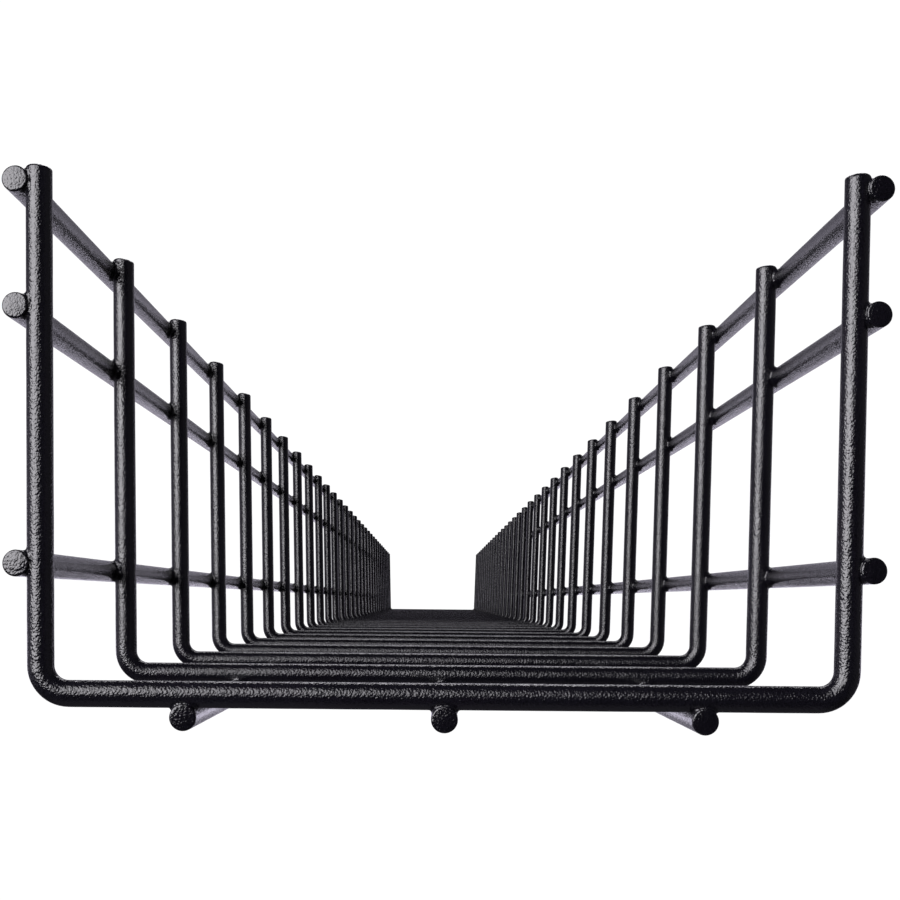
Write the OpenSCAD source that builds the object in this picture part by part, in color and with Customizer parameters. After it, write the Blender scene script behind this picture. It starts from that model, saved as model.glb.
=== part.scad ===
// Welded wire-mesh cable tray: U-shaped cross wires with straight rails
// welded along their outside, open at the top and at both ends.
// The tray runs along Y, its width is along X, and it stands on Z = 0.

/* [Wire] */
// Diameter of every wire with its powder coat
wire_d = 5.2; // [4:0.1:6]
// Depth that each weld sinks a rail into a cross wire
weld_sink = 0.9; // [0.2:0.1:1.2]

/* [Section] */
// Clear width between the legs of a cross wire at the base
inner_w = 150; // [130:10:300]
// Height of the cut tips above the centreline of the cross wire's base
leg_h = 103.2; // [101:0.1:120]
// Outward lean of each leg from the vertical, in degrees
leg_splay = 1.75; // [0:0.05:4]
// Bend radius of a cross wire, measured to its centreline
bend_r = 5.6; // [4:0.1:15]
// Radius that the wire gains in a bend, where bending swells it
bend_swell = 0.02; // [0.01:0.01:0.05]

/* [Length] */
// Number of cross wires
cross_wire_count = 31; // [2:1:51]
// Distance from one cross wire to the next
cross_wire_pitch = 100; // [50:5:100]
// Length of rail that stands past the centre of each end cross wire
rail_overhang = 3; // [2.6:0.1:20]

/* [Rails] */
// Distance from the middle base rail to each outer base rail
base_rail_spacing = 50; // [20:1:50]
// Height of the lower side rails above the base centreline
lower_rail_h = 25; // [20:1:40]
// Height of the middle side rails above the base centreline
middle_rail_h = 75; // [50:1:80]
// Height of the top side rails above the base centreline
top_rail_h = 100; // [90:1:100]

/* [Hidden] */
$fn = 48;
wire_r = wire_d / 2;
rail_offset = wire_d - weld_sink;
base_z = wire_r + rail_offset;
corner_x = inner_w / 2 + wire_r;
bend_angle = 90 - leg_splay;
bend_setback = bend_r * tan(bend_angle / 2);
// How far the straight wire runs on inside the swollen bend without breaking out of it
bend_lap = sqrt(bend_r * bend_swell);
leg_l = leg_h / cos(leg_splay);
tray_l = (cross_wire_count - 1) * cross_wire_pitch;
rail_l = tray_l + 2 * rail_overhang;
coat_black = [0.06, 0.06, 0.07];

LEFT = -1;
RIGHT = 1;

// Each rail: its name, and the X and Z of its centreline
RAILS = [
    ["base_rail_left", [-base_rail_spacing, wire_r]],
    ["base_rail_middle", [0, wire_r]],
    ["base_rail_right", [base_rail_spacing, wire_r]],
    ["left_rail_lower", side_rail_at(LEFT, lower_rail_h)],
    ["left_rail_middle", side_rail_at(LEFT, middle_rail_h)],
    ["left_rail_top", side_rail_at(LEFT, top_rail_h)],
    ["right_rail_lower", side_rail_at(RIGHT, lower_rail_h)],
    ["right_rail_middle", side_rail_at(RIGHT, middle_rail_h)],
    ["right_rail_top", side_rail_at(RIGHT, top_rail_h)]
];

function cross_wire_name(i) = str("cross_wire_", i < 10 ? "0" : "", i);

// A side rail lies square against the outside of the leaning leg
function side_rail_at(side, h) = [
    side * (corner_x + h * tan(leg_splay) + rail_offset * cos(leg_splay)),
    base_z + h - rail_offset * sin(leg_splay)
];

// The right-hand half of a cross wire, in its own plane:
// half of the base along X, the bend, and the leg up to its cut tip
module cross_wire_half() {
    base_half_l = corner_x - bend_setback;
    rotate([0, 90, 0]) cylinder(r = wire_r, h = base_half_l + bend_lap);
    translate([base_half_l, 0, bend_r])
        rotate([90, 0, 0])
            rotate([0, 0, -90])
                rotate_extrude(angle = bend_angle)
                    translate([bend_r, 0])
                        circle(r = wire_r + bend_swell);
    translate([corner_x, 0, 0])
        rotate([0, leg_splay, 0])
            translate([0, 0, bend_setback - bend_lap])
                cylinder(r = wire_r, h = leg_l - bend_setback + bend_lap);
}

// A U-shaped wire, bent at both lower corners and open at the top
module cross_wire(i) {
    y = (i - 1) * cross_wire_pitch - tray_l / 2;
    color(coat_black)
        translate([0, y, base_z])
            union() {
                cross_wire_half();
                mirror([1, 0, 0]) cross_wire_half();
            }
}

// A straight wire along the whole tray, cut square at both ends
module rail(centre) {
    color(coat_black)
        translate([centre[0], -rail_l / 2, centre[1]])
            rotate([-90, 0, 0])
                cylinder(r = wire_r, h = rail_l);
}

for (i = [1 : cross_wire_count])
    cross_wire(i);

for (r = RAILS)
    rail(r[1]);
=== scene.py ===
import math

import bpy
import numpy as np
from mathutils import Matrix, Vector


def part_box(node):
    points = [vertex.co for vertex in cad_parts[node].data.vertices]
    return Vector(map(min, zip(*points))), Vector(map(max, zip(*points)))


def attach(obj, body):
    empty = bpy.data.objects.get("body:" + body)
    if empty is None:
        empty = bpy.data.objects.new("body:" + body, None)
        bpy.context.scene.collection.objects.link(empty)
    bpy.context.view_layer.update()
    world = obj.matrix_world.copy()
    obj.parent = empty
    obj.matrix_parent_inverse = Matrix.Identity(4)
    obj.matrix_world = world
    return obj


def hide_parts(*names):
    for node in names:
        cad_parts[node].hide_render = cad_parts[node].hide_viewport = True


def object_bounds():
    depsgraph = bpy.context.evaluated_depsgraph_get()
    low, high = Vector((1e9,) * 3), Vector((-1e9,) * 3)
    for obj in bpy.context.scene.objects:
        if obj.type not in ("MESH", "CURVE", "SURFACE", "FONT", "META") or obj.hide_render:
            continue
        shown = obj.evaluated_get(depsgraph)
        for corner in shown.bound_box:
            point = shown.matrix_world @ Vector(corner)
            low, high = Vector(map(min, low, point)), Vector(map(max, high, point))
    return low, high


# The looks of a welded wire-mesh cable tray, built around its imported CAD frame.
# Everything is in metres. X is across the tray, Y is along it, Z is up.

MM = 0.001

# Keeps a divisor above zero
TINY = 1e-6

# The wires, as in the CAD source
WIRE_R = 2.6 * MM
RAIL_OFFSET = 4.3 * MM
CORNER_X = 77.6 * MM
LEG_H = 103.2 * MM
LEG_SPLAY = math.radians(1.75)
BEND_R = 5.6 * MM
BEND_ANGLE = math.pi / 2 - LEG_SPLAY
CROSS_WIRES = 31
RAILS = (
    "base_rail_left", "base_rail_middle", "base_rail_right",
    "left_rail_lower", "left_rail_middle", "left_rail_top",
    "right_rail_lower", "right_rail_middle", "right_rail_top",
)

# How finely the wires are drawn
SIDES = 36
CROSS_WIRE_STEP = 2.2 * MM
RAIL_STEP = 3.4 * MM
BEND_STEPS = 14

# Cut ends under their coat, from the middle out: share of the radius, and how far back it lies.
# The shear leaves a faint lip inside a rail's rim, and the coat rounds the edge.
RAIL_END = (
    (0.18, 0.00 * MM),
    (0.36, 0.01 * MM),
    (0.54, 0.04 * MM),
    (0.68, 0.08 * MM),
    (0.77, 0.11 * MM),
    (0.85, 0.11 * MM),
    (0.91, 0.16 * MM),
    (0.96, 0.26 * MM),
    (0.99, 0.42 * MM),
    (1.00, 0.62 * MM),
)
TIP_END = (
    (0.18, 0.00 * MM),
    (0.36, 0.02 * MM),
    (0.54, 0.05 * MM),
    (0.70, 0.11 * MM),
    (0.81, 0.20 * MM),
    (0.90, 0.33 * MM),
    (0.96, 0.51 * MM),
    (0.99, 0.70 * MM),
    (1.00, 0.90 * MM),
)
NEAR_CUT_STEPS = (1.2 * MM, 1.6 * MM, 2.2 * MM, 3.0 * MM, 3.8 * MM, 4.6 * MM)
CUT_ROUGHNESS = 0.018 * MM
CUT_FACE_SHARE = 0.92
RAIL_CUT_LEAN = math.radians(6)
RAIL_CUT_REACH = 4.0 * MM
TIP_SLANT = math.radians(10)
TIP_SLANT_SPREAD = (0.75, 1.25)
TIP_CREST = 0.3
TIP_SLANT_REACH = 4.6 * MM

# Tear marks on a cut face: how many, and how tightly they wave, in radians over the wire's radius
TEAR_MARKS = 6
TEAR_PITCH = (3, 9)

# The coat's slow waves: how deep, how many round the wire, and their lengths in millimetres
COAT_WAVE = 0.005 * MM
COAT_WAVE_TURNS = (0, 1, 1, 2, 2, 3, 4, 5)
COAT_WAVE_LENGTH = (5, 18)

# The flattening of a bent wire, and how far from the bend's middle it reaches, as a share of the bend
BEND_THINNING = 0.02
BEND_WIDENING = 0.012
BEND_SPREAD = 0.6

# Where the random numbers of each kind of piece start
CROSS_WIRE_SEED = 100
RAIL_SEED = 200
WELD_SEED = 300

# The coat's leather grain: pads pulled out of shape by a warp, then finer and slower unevenness.
# The scales are per metre. The creases between the pads only darken the colour, as painted shade.
PADS_PER_METRE = 2050.0
PAD_SMOOTHNESS = 0.2
PAD_DEPTH = 0.081 * MM
WARP_SCALE = 1850.0
WARP_REACH = 0.5 * MM
CREASE_HALF_WIDTH = 0.12
FINE_SCALE = 4200.0
FINE_DEPTH = 0.011 * MM
PEEL_SCALE = 320.0
PEEL_DEPTH = 0.060 * MM
DRIFT_SCALE = 45.0

# The coat's colour between its darkest and palest, how much each texture moves it (the creases' share is
# painted shade), and its gloss
DARK_COAT = (0.0014, 0.0013, 0.0020)
PALE_COAT = (0.0052, 0.0048, 0.0072)
TONE_RANGE = (0.35, 0.85)
TONE_SHARES = {"fine": 0.5, "pads": 0.5, "drift": 0.5, "crease_shade": 0.3}
GLOSS_SHARES = {"fine": 0.6, "drift": 0.4}
GLOSS_RANGE = (0.3, 0.7)
ROUGHNESS_SWING = 0.05
COAT_IOR = 1.5

# Each coat's roughness, depth of grain and tone
WIRE_COAT = (0.09, 1.0, 1.0)
CUT_COAT = (0.12, 1.0, 0.8)
WELD_COAT = (0.14, 1.3, 0.9)

# The weld fillets: how far they reach from the middle of the joint, the waves of their outline,
# the lumps of their skin, and the room they leave at cut ends
WELD_REACH = 2.95 * MM
WELD_REACH_SHIFT = 0.385 * MM
WELD_SWELL = 0.035
WELD_SWELL_TURNS = (1, 2, 3, 5, 7)
WELD_LUMP = 0.10 * MM
WELD_LUMP_TURNS = (4, 6, 9, 11, 13, 16)
WELD_LUMP_TWIST = 3.1
WELD_SKIN = 0.015 * MM
WELD_ROOT = 0.06 * MM
WELD_CORE = 0.1 * MM
WELD_LIMIT = 0.97 * WIRE_R
WELD_AROUND = 36
WELD_ACROSS = 6
RAIL_OVERHANG = 3.0 * MM
WELD_END_ROOM = 0.7 * MM
WELD_TIP_REACH = 2.45 * MM
WELD_PHASE = 6.28

# The camera, measured from the middle of the nearest cross wire's base
CAMERA_OFFSET = Vector((-2.81, -357.6, 18.44)) * MM
CAMERA_PITCH = math.radians(4.673)
CAMERA_YAW = math.radians(0.547)
CAMERA_ROLL = math.radians(0.525)
CAMERA_LENS = 73.72
CAMERA_CLIP = (0.02, 100.0)
SENSOR_WIDTH = 36.0

# The soft lights, aimed at the near end: azimuth from the near side towards -X, elevation,
# distance, size and brightness. The first three are the layers of one light, each smaller and
# nearer than the last, and the fourth hangs over the tray.
AIM_HEIGHT = 0.05
SOFTBOXES = {
    "softbox_rim": (42, 25, 0.92, (1.52, 1.24), 2.1),
    "softbox_body": (45, 22, 0.90, (1.22, 1.17), 3.4),
    "softbox_core": (46, 12, 0.88, (0.62, 0.84), 4.3),
    "softbox_overhead": (180, 36, 1.2, (0.9, 0.38), 2.6),
}
SOFTBOX_COLOR = (1.0, 0.98, 1.03)

# The pale floor and surroundings that the camera sees
PALE_GLOW = 1.05
FLOOR_HALF = 40.0
FLOOR_GAP = 0.5 * MM

# The surroundings that the tray reflects. Each is a rise over a direction's part along one axis:
# from and to, then the level at each of the two. FAR_SIDE brings in the backdrop.
FAR_SIDE = (0.45, 0.8, 0.0, 1.0)
LEFT_WALL = (-0.82, -1.0, 0.010, 0.46)
RIGHT_WALL = (0.55, 1.0, 0.0, 0.12)
GROUND = (-0.7, -1.0, 0.0, 0.14)
SURROUNDINGS_COLOR = (0.93, 0.88, 1.06, 1)

# The backdrop past the far end: elevation in degrees, and brightness
BACKDROP_BANDS = (
    (-30, 0.08),
    (-11, 0.12),
    (-7, 0.26),
    (-5, 0.95),
    (-3, 1.45),
    (-1, 0.80),
    (2, 0.50),
    (7, 0.38),
    (14, 0.24),
    (24, 0.15),
    (52, 0.10),
)

BODY = "root"

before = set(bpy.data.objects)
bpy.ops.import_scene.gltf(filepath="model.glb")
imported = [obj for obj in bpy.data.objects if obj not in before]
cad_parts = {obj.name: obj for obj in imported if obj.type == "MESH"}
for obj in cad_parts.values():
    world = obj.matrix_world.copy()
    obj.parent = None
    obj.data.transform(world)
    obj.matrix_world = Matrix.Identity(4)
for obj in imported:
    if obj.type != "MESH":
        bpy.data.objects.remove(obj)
cad_low, cad_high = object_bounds()


# ---------------------------------------------------------------- meshes

def new_piece(name, vertices, faces, materials, kinds=None):
    """A smooth-shaded mesh piece that rides on the tray's one body.

    kinds gives each face's place in materials, and without it they all take the first.
    """
    mesh = bpy.data.meshes.new(name)
    mesh.from_pydata(vertices.tolist(), [], faces)
    mesh.polygons.foreach_set("use_smooth", [True] * len(mesh.polygons))
    for material in materials:
        mesh.materials.append(material)
    if kinds:
        mesh.polygons.foreach_set("material_index", kinds)
    mesh.update()
    piece = bpy.data.objects.new(name, mesh)
    bpy.context.scene.collection.objects.link(piece)
    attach(piece, BODY)
    return piece


def tube_faces(ring_count, sides):
    """Quads between rings of vertices, and a fan of triangles on the two middle points after them."""
    faces = []
    for i in range(ring_count - 1):
        a, b = i * sides, (i + 1) * sides
        faces += [(a + j, a + (j + 1) % sides, b + (j + 1) % sides, b + j) for j in range(sides)]
    start_middle = ring_count * sides
    last = (ring_count - 1) * sides
    faces += [(start_middle, (j + 1) % sides, j) for j in range(sides)]
    faces += [(start_middle + 1, last + j, last + (j + 1) % sides) for j in range(sides)]
    return faces


def cut_face_kinds(share, sides):
    """Material places of tube_faces' faces: 1 on the cut ends, 0 along the wire."""
    kinds = []
    for i in range(len(share) - 1):
        kinds += [1 if min(share[i], share[i + 1]) < CUT_FACE_SHARE else 0] * sides
    return kinds + [1] * (2 * sides)


def coat_waves(along, around, rng):
    """Slow, shallow waves of the coat's thickness over the length and round the wire."""
    waves = np.zeros((len(along), len(around)))
    for order in COAT_WAVE_TURNS:
        length = rng.uniform(*COAT_WAVE_LENGTH) * MM
        phase = rng.uniform(0, 2 * math.pi)
        turn = rng.choice((-1, 1))
        waves += np.sin(
            2 * math.pi * along[:, None] / length + turn * order * around[None, :] + phase
        )
    return COAT_WAVE * waves / 2


def stations(length, body_steps, cut_end):
    """Places along a wire and the share of its radius there, cut end to cut end."""
    start = [(back, share) for share, back in cut_end]
    start += [(back, 1.0) for back in NEAR_CUT_STEPS]
    end = [(length - back, share) for back, share in reversed(start)]
    low, high = start[-1][0], end[0][0]
    body = [(s, 1.0) for s in body_steps if low < s < high]
    places = start + body + end
    return np.array([p[0] for p in places]), np.array([p[1] for p in places])


def even_steps(low, high, step):
    """Places about step apart, in the middles of equal parts of low to high."""
    count = max(1, round((high - low) / step))
    return [low + (high - low) * (i + 0.5) / count for i in range(count)]


def cut_face_noise(share, around, rng):
    """Shallow tear marks on a cut face, fading out at its rim."""
    noise = np.zeros((len(share), len(around)))
    x = share[:, None] * np.cos(around)[None, :]
    y = share[:, None] * np.sin(around)[None, :]
    for _ in range(TEAR_MARKS):
        turn = rng.uniform(0, math.pi)
        pitch = rng.uniform(*TEAR_PITCH)
        phase = rng.uniform(0, 2 * math.pi)
        noise += np.sin(pitch * (x * math.cos(turn) + y * math.sin(turn)) + phase)
    return CUT_ROUGHNESS * noise / 2 * (1 - share[:, None] ** 4)


# ---------------------------------------------------------------- cross wires

BEND_SETBACK = BEND_R * math.tan(BEND_ANGLE / 2)
BASE_HALF = CORNER_X - BEND_SETBACK
BEND_LENGTH = BEND_R * BEND_ANGLE
LEG_STRAIGHT = LEG_H / math.cos(LEG_SPLAY) - BEND_SETBACK
HOOP_HALF = BASE_HALF + BEND_LENGTH + LEG_STRAIGHT


def hoop_place(s):
    """Centreline point, direction and outward side of a cross wire, s along it from the middle."""
    side = 1 if s >= 0 else -1
    u = abs(s)
    angle = min(max((u - BASE_HALF) / BEND_R, 0.0), BEND_ANGLE)
    x = min(u, BASE_HALF) + BEND_R * math.sin(angle)
    z = BEND_R * (1 - math.cos(angle))
    past = max(u - BASE_HALF - BEND_LENGTH, 0.0)
    x += past * math.cos(angle)
    z += past * math.sin(angle)
    point = (side * x, 0.0, z)
    direction = (math.cos(angle), 0.0, side * math.sin(angle))
    outward = (side * math.sin(angle), 0.0, -math.cos(angle))
    return point, direction, outward


def make_cross_wire(number, materials):
    """One coated cross wire, swept along its bent centreline. materials are the coats of wire and cut."""
    name = f"cross_wire_{number:02d}"
    low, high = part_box(name)
    rng = np.random.default_rng(CROSS_WIRE_SEED + number)
    length = 2 * HOOP_HALF
    bend_start, bend_end = BASE_HALF, BASE_HALF + BEND_LENGTH
    bend = list(np.linspace(bend_start, bend_end, BEND_STEPS + 1))
    leg = even_steps(bend_end, HOOP_HALF, CROSS_WIRE_STEP)
    base = even_steps(-bend_start, bend_start, CROSS_WIRE_STEP)
    half = bend + leg
    steps = sorted([-s for s in half] + base + half)
    s, share = stations(length, [HOOP_HALF + v for v in steps], TIP_END)
    places = [hoop_place(v - HOOP_HALF) for v in s]
    point, direction, outward = (np.array([p[k] for p in places]) for k in range(3))
    around = np.arange(SIDES) * 2 * math.pi / SIDES
    middle = 0.5 * (bend_start + bend_end)
    bent = np.clip(1 - np.abs(np.abs(s - HOOP_HALF) - middle) / (BEND_SPREAD * BEND_LENGTH), 0, 1)
    radius = WIRE_R * share[:, None] + coat_waves(s, around, rng) * share[:, None]
    out = radius * (1 - BEND_THINNING * bent[:, None]) * np.cos(around)[None, :]
    lengthwise = radius * (1 + BEND_WIDENING * bent[:, None]) * np.sin(around)[None, :]
    # A tip is sheared at a slant: highest beside the top rail, lowest on the tray's inside
    to_tip = np.minimum(s, length - s)
    fade = np.clip(1 - to_tip / TIP_SLANT_REACH, 0, 1)[:, None]
    slants = TIP_SLANT * rng.uniform(*TIP_SLANT_SPREAD, 2)
    at_start = (s < length / 2)[:, None]
    slant = np.where(at_start, slants[0], slants[1])
    toward_middle = np.where(at_start, 1.0, -1.0)
    along = toward_middle * fade * np.tan(slant) * np.maximum(TIP_CREST * WIRE_R - out, 0)
    on_face = (share < 1)[:, None]
    along = along + on_face * toward_middle * np.abs(cut_face_noise(share, around, rng))
    rings = point[:, None, :] + along[:, :, None] * direction[:, None, :]
    rings = rings + out[:, :, None] * outward[:, None, :]
    rings[:, :, 1] += lengthwise
    ends = np.array([rings[0].mean(0), rings[-1].mean(0)])
    vertices = np.concatenate([rings.reshape(-1, 3), ends])
    vertices += np.array([0.0, (low.y + high.y) / 2, low.z + WIRE_R])
    faces, kinds = tube_faces(len(s), SIDES), cut_face_kinds(share, SIDES)
    piece = new_piece(name + "_coated", vertices, faces, materials, kinds)
    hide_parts(name)


# ---------------------------------------------------------------- rails

def outward_of(name):
    """The direction from the cross wires to a rail, at right angles to the wire it is welded to."""
    if name.startswith("base"):
        return np.array([0.0, 0.0, -1.0])
    side = 1 if name.startswith("right") else -1
    return np.array([side * math.cos(LEG_SPLAY), 0.0, -math.sin(LEG_SPLAY)])


def make_rail(number, name, materials):
    """One coated rail, swept along Y. materials are the coats of wire and cut."""
    low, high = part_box(name)
    rng = np.random.default_rng(RAIL_SEED + number)
    length = high.y - low.y
    s, share = stations(length, even_steps(0, length, RAIL_STEP), RAIL_END)
    around = np.arange(SIDES) * 2 * math.pi / SIDES
    radius = WIRE_R * share[:, None] + coat_waves(s, around, rng) * share[:, None]
    inward = np.where(s < length / 2, 1.0, -1.0)[:, None]
    y = low.y + s[:, None] + inward * (share < 1)[:, None] * np.abs(cut_face_noise(share, around, rng))
    # Each cut leans a little outward, away from the tray
    fade = np.clip(1 - np.minimum(s, length - s) / RAIL_CUT_REACH, 0, 1)[:, None]
    outward = math.atan2(outward_of(name)[2], outward_of(name)[0])
    back = WIRE_R + radius * np.cos(around - outward)[None, :]
    y = y + inward * fade * math.tan(RAIL_CUT_LEAN) * back
    x = (low.x + high.x) / 2 + radius * np.cos(around)[None, :]
    z = (low.z + high.z) / 2 + radius * np.sin(around)[None, :]
    rings = np.stack([x, y, z], axis=2)
    ends = np.array([rings[0].mean(0), rings[-1].mean(0)])
    vertices = np.concatenate([rings.reshape(-1, 3), ends])
    faces = [tuple(reversed(f)) for f in tube_faces(len(s), SIDES)]
    piece = new_piece(name + "_coated", vertices, faces, materials, cut_face_kinds(share, SIDES))
    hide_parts(name)


# ---------------------------------------------------------------- welds

def weld_bead(joint, wire_dir, to_rail, end_side, at_tip, rng):
    """A concave fillet that fills the crevice between a cross wire and a rail, as rings of points.

    joint is on the cross wire's centreline, wire_dir runs along that wire, to_rail points at the
    rail. end_side is -1 or 1 where the rail is cut off just past this weld, at low or high Y.
    at_tip is true where the cross wire is cut off just past it.
    """
    rail_dir = np.array([0.0, 1.0, 0.0])
    turns = np.arange(WELD_AROUND) * 2 * math.pi / WELD_AROUND
    swell = np.ones(WELD_AROUND)
    for order in WELD_SWELL_TURNS:
        swell += rng.uniform(-WELD_SWELL, WELD_SWELL) * np.cos(order * turns + rng.uniform(0, WELD_PHASE))
    cos, sin = np.cos(turns), np.sin(turns)
    shift = WELD_REACH_SHIFT * np.cos(2 * turns)
    on_wire = (WELD_REACH + shift) * swell
    on_rail = (WELD_REACH - shift) * swell
    on_wire = np.minimum(on_wire, WELD_LIMIT / np.maximum(np.abs(sin), TINY))
    on_rail = np.minimum(on_rail, WELD_LIMIT / np.maximum(np.abs(cos), TINY))
    if end_side:
        room = (RAIL_OVERHANG - WELD_END_ROOM) / np.maximum(end_side * sin, TINY)
        on_wire = np.minimum(on_wire, room)
        on_rail = np.minimum(on_rail, room)
    if at_tip:
        on_wire = np.minimum(on_wire, WELD_TIP_REACH / np.maximum(cos, TINY))
    wire_h = np.sqrt(WIRE_R**2 - (on_wire * sin) ** 2)
    rail_h = np.sqrt(WIRE_R**2 - (on_rail * cos) ** 2)
    wire_slope = -on_wire * sin**2 / wire_h
    rail_slope = on_rail * cos**2 / rail_h
    top, bottom = RAIL_OFFSET - rail_h, wire_h
    corner = (top - bottom + wire_slope * on_wire - rail_slope * on_rail) / (wire_slope - rail_slope)
    corner_h = bottom + wire_slope * (corner - on_wire)
    rings = [(on_wire, bottom - WELD_ROOT)]
    lump_phase = rng.uniform(0, WELD_PHASE, len(WELD_LUMP_TURNS))
    for k in range(WELD_ACROSS + 1):
        t = k / WELD_ACROSS
        reach = (1 - t) ** 2 * on_wire + 2 * t * (1 - t) * corner + t**2 * on_rail
        height = (1 - t) ** 2 * bottom + 2 * t * (1 - t) * corner_h + t**2 * top
        lumps = np.zeros(WELD_AROUND)
        for order, phase in zip(WELD_LUMP_TURNS, lump_phase):
            lumps += np.sin(order * turns + phase + WELD_LUMP_TWIST * t * (order % 3))
        reach = reach + WELD_LUMP * lumps / 3 * 4 * t * (1 - t)
        height = height + WELD_SKIN * (2 * t - 1)
        rings.append((reach, height))
    rings.append((on_rail, top + WELD_ROOT))
    points = np.array([
        joint
        + (reach * cos)[:, None] * wire_dir
        + (reach * sin)[:, None] * rail_dir
        + height[:, None] * to_rail
        for reach, height in rings
    ])
    middle = joint + RAIL_OFFSET / 2 * to_rail
    ends = np.array([middle - WELD_CORE * to_rail, middle + WELD_CORE * to_rail])
    vertices = np.concatenate([points.reshape(-1, 3), ends])
    return vertices, len(rings)


def signed_volume(vertices, faces):
    total = 0.0
    for face in faces:
        a = vertices[face[0]]
        for i in range(1, len(face) - 1):
            total += np.dot(a, np.cross(vertices[face[i]], vertices[face[i + 1]]))
    return total / 6


def make_welds(number, name, cross_wire_ys, material):
    """The welds of one rail, a bead on every cross wire, as one piece."""
    low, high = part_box(name)
    rail = np.array([(low.x + high.x) / 2, 0.0, (low.z + high.z) / 2])
    to_rail = outward_of(name)
    side = 1 if name.startswith("right") else -1
    wire_dir = np.array([-side * to_rail[2], 0.0, side * to_rail[0]])
    rng = np.random.default_rng(WELD_SEED + number)
    vertices, faces = [], []
    count = 0
    for i, y in enumerate(cross_wire_ys):
        joint = rail - RAIL_OFFSET * to_rail
        joint[1] = y
        end_side = {0: -1, len(cross_wire_ys) - 1: 1}.get(i, 0)
        bead, ring_count = weld_bead(joint, wire_dir, to_rail, end_side, name.endswith("top"), rng)
        bead_faces = tube_faces(ring_count, WELD_AROUND)
        if signed_volume(bead - joint, bead_faces) < 0:
            bead_faces = [tuple(reversed(f)) for f in bead_faces]
        vertices.append(bead)
        faces += [tuple(count + v for v in f) for f in bead_faces]
        count += len(bead)
    new_piece(name + "_welds", np.concatenate(vertices), faces, [material])


# ---------------------------------------------------------------- materials

class Nodes:
    """Builds a node tree: each call adds a node, sets its fields and links its inputs.

    An input is given by its name, or as i0, i1 and so on by its number.
    """

    def __init__(self, tree):
        self.tree = tree
        tree.nodes.clear()

    def add(self, kind, fields=None, **inputs):
        node = self.tree.nodes.new(kind)
        for key, value in (fields or {}).items():
            setattr(node, key, value)
        for key, value in inputs.items():
            by_number = key[0] == "i" and key[1:].isdigit()
            socket = node.inputs[int(key[1:]) if by_number else key.replace("_", " ")]
            if isinstance(value, bpy.types.NodeSocket):
                self.tree.links.new(value, socket)
            else:
                socket.default_value = value
        return node

    def math(self, operation, *values):
        inputs = {f"i{k}": v for k, v in enumerate(values)}
        return self.add("ShaderNodeMath", {"operation": operation}, **inputs).outputs[0]


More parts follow.
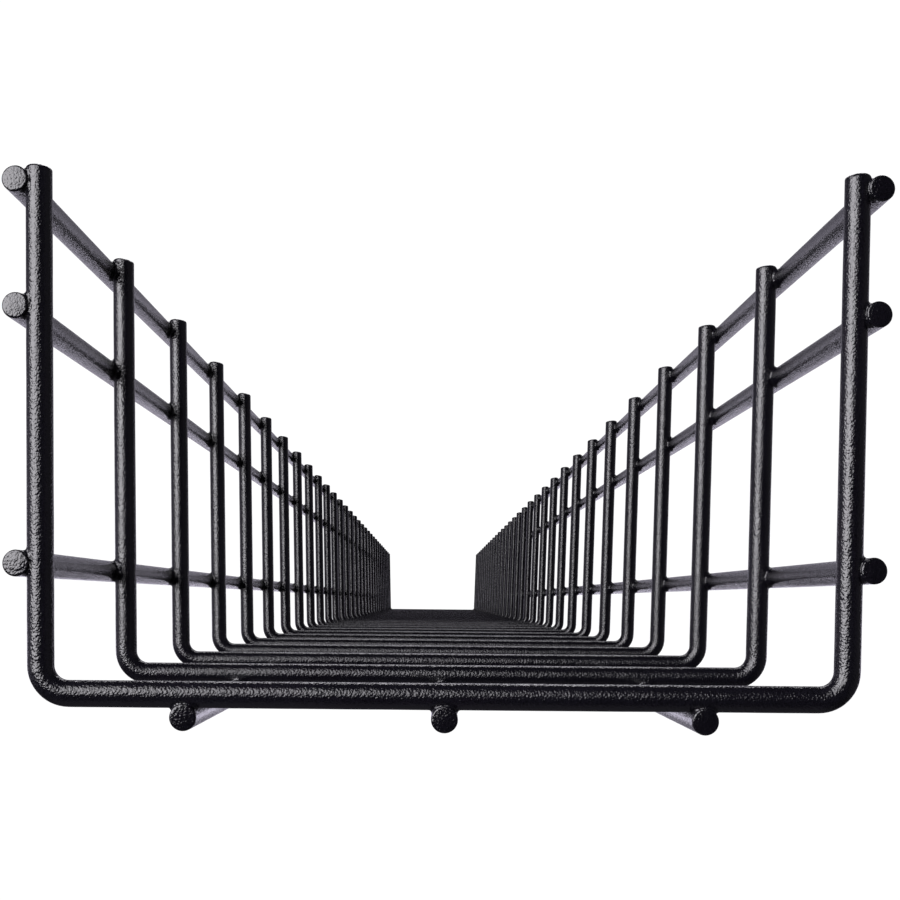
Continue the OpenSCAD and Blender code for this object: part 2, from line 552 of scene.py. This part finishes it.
def coat_material(name, roughness, grain, tone):
    """Satin black powder coat with a fine leather texture.

    grain is how deep the texture is against the plain coat's. tone is the colour's lightness
    against the plain coat's.
    """
    material = bpy.data.materials.new(name)
    material.use_nodes = True
    nodes = Nodes(material.node_tree)
    place = nodes.add("ShaderNodeTexCoord").outputs["Object"]

    # The grain is pads of about 0.5 mm, pulled out of shape by a noise
    warp = nodes.add("ShaderNodeTexNoise", Vector=place, Scale=WARP_SCALE, Detail=2.0)
    pull = nodes.add(
        "ShaderNodeVectorMath", {"operation": "SUBTRACT"}, i0=warp.outputs["Color"], i1=(0.5, 0.5, 0.5)
    )
    pull = nodes.add(
        "ShaderNodeVectorMath", {"operation": "SCALE"}, i0=pull.outputs[0], Scale=WARP_REACH
    )
    warped = nodes.add(
        "ShaderNodeVectorMath", {"operation": "ADD"}, i0=place, i1=pull.outputs[0]
    ).outputs[0]
    pads = nodes.add(
        "ShaderNodeTexVoronoi", {"feature": "SMOOTH_F1"},
        Vector=warped, Scale=PADS_PER_METRE, Smoothness=PAD_SMOOTHNESS, Randomness=1.0,
    ).outputs["Distance"]
    to_crease = nodes.add(
        "ShaderNodeTexVoronoi", {"feature": "DISTANCE_TO_EDGE"},
        Vector=warped, Scale=PADS_PER_METRE, Randomness=1.0,
    ).outputs["Distance"]
    # Where the creases lie, for the painted shade in them
    crease_shade = nodes.add(
        "ShaderNodeMapRange", {"interpolation_type": "SMOOTHSTEP"},
        Value=to_crease, From_Min=0.0, From_Max=CREASE_HALF_WIDTH, To_Min=-1.0, To_Max=0.0,
    ).outputs[0]
    fine = nodes.add(
        "ShaderNodeTexNoise", Vector=place, Scale=FINE_SCALE, Detail=2.0, Roughness=0.6
    ).outputs["Fac"]
    peel = nodes.add(
        "ShaderNodeTexNoise", Vector=place, Scale=PEEL_SCALE, Detail=2.0
    ).outputs["Fac"]
    drift = nodes.add(
        "ShaderNodeTexNoise", Vector=place, Scale=DRIFT_SCALE, Detail=3.0
    ).outputs["Fac"]

    height = nodes.math("MULTIPLY", pads, -PAD_DEPTH)
    height = nodes.math("MULTIPLY_ADD", fine, FINE_DEPTH, height)
    height = nodes.math("MULTIPLY_ADD", peel, PEEL_DEPTH, height)
    bump = nodes.add("ShaderNodeBump", Strength=1.0, Distance=grain, Height=height)

    # Colour: the creases are darkened with painted shade, and the coat's tone drifts along the wire
    tint = nodes.math("MULTIPLY", pads, TONE_SHARES["pads"])
    tint = nodes.math("MULTIPLY_ADD", fine, TONE_SHARES["fine"], tint)
    tint = nodes.math("MULTIPLY_ADD", drift, TONE_SHARES["drift"], tint)
    tint = nodes.math("MULTIPLY_ADD", crease_shade, TONE_SHARES["crease_shade"], tint)
    ramp = nodes.add("ShaderNodeValToRGB", Fac=tint)
    stops = ramp.color_ramp.elements
    for stop, position, color in zip(stops, TONE_RANGE, (DARK_COAT, PALE_COAT)):
        stop.position = position
        stop.color = (*(channel * tone for channel in color), 1)
    gloss = nodes.math("MULTIPLY", fine, GLOSS_SHARES["fine"])
    gloss = nodes.math("MULTIPLY_ADD", drift, GLOSS_SHARES["drift"], gloss)
    rough = nodes.add(
        "ShaderNodeMapRange", Value=gloss, From_Min=GLOSS_RANGE[0], From_Max=GLOSS_RANGE[1],
        To_Min=roughness - ROUGHNESS_SWING, To_Max=roughness + ROUGHNESS_SWING,
    ).outputs[0]
    shader = nodes.add(
        "ShaderNodeBsdfPrincipled",
        Base_Color=ramp.outputs["Color"], Roughness=rough, Normal=bump.outputs[0], IOR=COAT_IOR,
    )
    nodes.add("ShaderNodeOutputMaterial", Surface=shader.outputs[0])
    return material


# ---------------------------------------------------------------- studio

def make_camera():
    """The camera stands in front of the near end, low inside the tray, and looks along it."""
    low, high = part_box("cross_wire_01")
    near = Vector((0.0, (low.y + high.y) / 2, low.z + WIRE_R))
    pitch, yaw, roll = CAMERA_PITCH, CAMERA_YAW, CAMERA_ROLL
    forward = Vector((
        math.sin(yaw) * math.cos(pitch), math.cos(yaw) * math.cos(pitch), math.sin(pitch)
    ))
    level = Vector((math.cos(yaw), -math.sin(yaw), 0.0))
    upright = level.cross(forward)
    right = math.cos(roll) * level + math.sin(roll) * upright
    up = -math.sin(roll) * level + math.cos(roll) * upright
    data = bpy.data.cameras.new("camera")
    data.sensor_width = SENSOR_WIDTH
    data.lens = CAMERA_LENS
    data.clip_start, data.clip_end = CAMERA_CLIP
    camera = bpy.data.objects.new("camera", data)
    place = Matrix((right, up, -forward)).transposed().to_4x4()
    place.translation = near + CAMERA_OFFSET
    camera.matrix_world = place
    bpy.context.scene.collection.objects.link(camera)
    bpy.context.scene.camera = camera


def make_softbox(name, aim, azimuth, elevation, distance, size, radiance):
    """An elliptical soft area light. Azimuth 0 is the near side, and it grows towards -X."""
    a, e = math.radians(azimuth), math.radians(elevation)
    away = Vector((-math.sin(a) * math.cos(e), -math.cos(a) * math.cos(e), math.sin(e)))
    data = bpy.data.lights.new(name, "AREA")
    data.shape = "ELLIPSE"
    data.size, data.size_y = size
    area = math.pi / 4 * data.size * data.size_y
    data.energy = radiance * math.pi * area
    data.color = SOFTBOX_COLOR
    light = bpy.data.objects.new(name, data)
    light.location = Vector(aim) + away * distance
    light.rotation_mode = "QUATERNION"
    light.rotation_quaternion = away.to_track_quat("Z", "Y")
    light.visible_camera = False
    bpy.context.scene.collection.objects.link(light)


def make_floor():
    """A pale floor, lit evenly from within like a light table, so that it takes no shadow."""
    material = bpy.data.materials.new("pale_floor")
    material.use_nodes = True
    nodes = Nodes(material.node_tree)
    glow = nodes.add("ShaderNodeEmission", Color=(1, 1, 1, 1), Strength=PALE_GLOW)
    nodes.add("ShaderNodeOutputMaterial", Surface=glow.outputs[0])
    mesh = bpy.data.meshes.new("floor")
    corners = [(x * FLOOR_HALF, y * FLOOR_HALF, 0) for x, y in ((-1, -1), (1, -1), (1, 1), (-1, 1))]
    mesh.from_pydata(corners, [], [(0, 1, 2, 3)])
    mesh.materials.append(material)
    floor = bpy.data.objects.new("floor", mesh)
    floor.location.z = cad_low.z - FLOOR_GAP
    floor.visible_diffuse = False
    floor.visible_glossy = False
    floor.visible_shadow = False
    bpy.context.scene.collection.objects.link(floor)


def smooth_rise(nodes, value, from_low, from_high, to_low, to_high):
    """A smooth rise from to_low to to_high while value goes from from_low to from_high."""
    return nodes.add(
        "ShaderNodeMapRange", {"interpolation_type": "SMOOTHSTEP"},
        Value=value, From_Min=from_low, From_Max=from_high, To_Min=to_low, To_Max=to_high,
    ).outputs[0]


def make_world():
    """A backdrop round the far end, brightest in a low band, with dim walls and a dim ground."""
    world = bpy.data.worlds.new("studio")
    world.use_nodes = True
    nodes = Nodes(world.node_tree)
    direction = nodes.add("ShaderNodeTexCoord").outputs["Generated"]
    split = nodes.add("ShaderNodeSeparateXYZ", Vector=direction)
    far_side = smooth_rise(nodes, split.outputs["Y"], *FAR_SIDE)
    height = nodes.math("MULTIPLY_ADD", split.outputs["Z"], 0.5, 0.5)
    bands = nodes.add("ShaderNodeValToRGB", Fac=height)
    stops = bands.color_ramp.elements
    while len(stops) < len(BACKDROP_BANDS):
        stops.new(0.5)
    for stop, (elevation, level) in zip(stops, BACKDROP_BANDS):
        stop.position = 0.5 + 0.5 * math.sin(math.radians(elevation))
        stop.color = (level, level, level, 1)
    left_wall = smooth_rise(nodes, split.outputs["X"], *LEFT_WALL)
    right_wall = smooth_rise(nodes, split.outputs["X"], *RIGHT_WALL)
    ground = smooth_rise(nodes, split.outputs["Z"], *GROUND)
    bright = nodes.math("MULTIPLY_ADD", far_side, bands.outputs["Color"], left_wall)
    bright = nodes.math("ADD", bright, right_wall)
    bright = nodes.math("ADD", bright, ground)
    seen_by_object = nodes.add("ShaderNodeBackground", Color=SURROUNDINGS_COLOR, Strength=bright)
    seen_by_camera = nodes.add("ShaderNodeBackground", Color=(1, 1, 1, 1), Strength=PALE_GLOW)
    rays = nodes.add("ShaderNodeLightPath")
    mixed = nodes.add(
        "ShaderNodeMixShader",
        i0=rays.outputs["Is Camera Ray"], i1=seen_by_object.outputs[0], i2=seen_by_camera.outputs[0],
    )
    nodes.add("ShaderNodeOutputWorld", Surface=mixed.outputs[0])
    bpy.context.scene.world = world


# ---------------------------------------------------------------- build

make_camera()
wire_coat = coat_material("leather_powder_coat", *WIRE_COAT)
cut_coat = coat_material("leather_powder_coat_on_cuts", *CUT_COAT)
weld_coat = coat_material("leather_powder_coat_on_welds", *WELD_COAT)

cross_wire_ys = []
for number in range(1, CROSS_WIRES + 1):
    make_cross_wire(number, [wire_coat, cut_coat])
    low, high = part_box(f"cross_wire_{number:02d}")
    cross_wire_ys.append((low.y + high.y) / 2)
for number, name in enumerate(RAILS):
    make_rail(number, name, [wire_coat, cut_coat])
    make_welds(number, name, cross_wire_ys, weld_coat)

near_end = (0.0, cad_low.y, AIM_HEIGHT)
for name, light in SOFTBOXES.items():
    make_softbox(name, near_end, *light)
make_floor()
make_world()
bpy.context.scene.view_settings.view_transform = "Standard"

bpy.context.view_layer.update()
